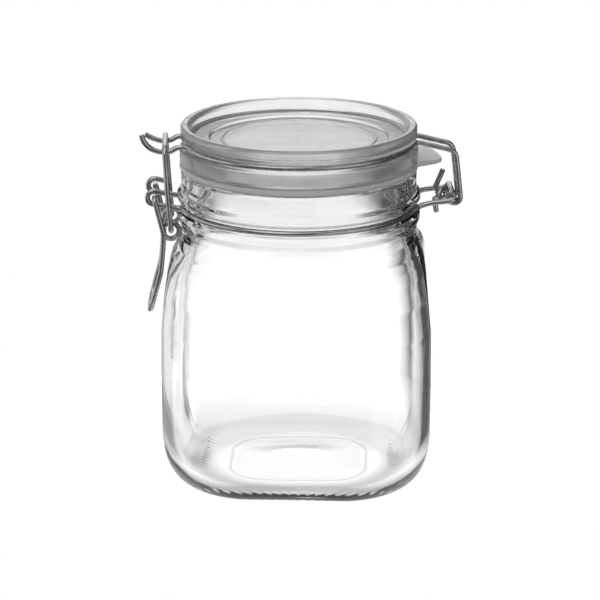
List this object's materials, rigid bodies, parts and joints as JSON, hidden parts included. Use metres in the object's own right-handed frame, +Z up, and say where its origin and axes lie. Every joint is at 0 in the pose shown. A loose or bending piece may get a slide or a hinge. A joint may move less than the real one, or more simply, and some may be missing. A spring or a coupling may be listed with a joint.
{
  "type": "bail clamp jar",
  "caption": "Square-shouldered glass storage jar with a hinged glass lid, a rubber sealing ring and a wire bail clamp.",
  "frame": {"origin": "centre of the bounding box in plan, at the surface the jar stands on", "axes": "+Z up, the jar's longest extent; the clasp is on the -X side and the lid's hinge on the +X side"},
  "size_m": [0.126, 0.109, 0.1442],
  "materials": {
    "jar_glass": "clear pressed soda glass, glossy",
    "lid_glass": "clear pressed soda glass, glossy",
    "rubber": "pale translucent rubber, satin",
    "wire": "drawn steel wire, bright plated"
  },
  "bodies": {
    "jar": {"jar_body": "jar_glass", "neck_wire_front": "wire", "neck_wire_back": "wire"},
    "lid_assembly": {"lid_wire": "wire", "lid": "lid_glass", "gasket": "rubber"},
    "lever": {"lever": "wire"},
    "link": {"link": "wire"}
  },
  "joints": [
    {"name": "lid_hinge", "type": "hinge", "parent": "jar", "child": "lid_assembly", "pos_m": [0.06055, 0, 0.1152], "axis": [0, 1, 0], "range_deg": [0, 110]},
    {"name": "lever_swing", "type": "hinge", "parent": "jar", "child": "lever", "pos_m": [-0.0564, 0, 0.1172], "axis": [0, 1, 0], "range_deg": [0, 112]},
    {"name": "link_swing", "type": "hinge", "parent": "lever", "child": "link", "pos_m": [-0.0501, 0, 0.10505], "axis": [0, 1, 0], "range_deg": [-145, 0]}
  ],
  "couplings": [
    {"joint": "lever_swing", "follows": "lid_hinge", "ratio": 1},
    {"joint": "link_swing", "follows": "lid_hinge", "ratio": -1.3}
  ]
}
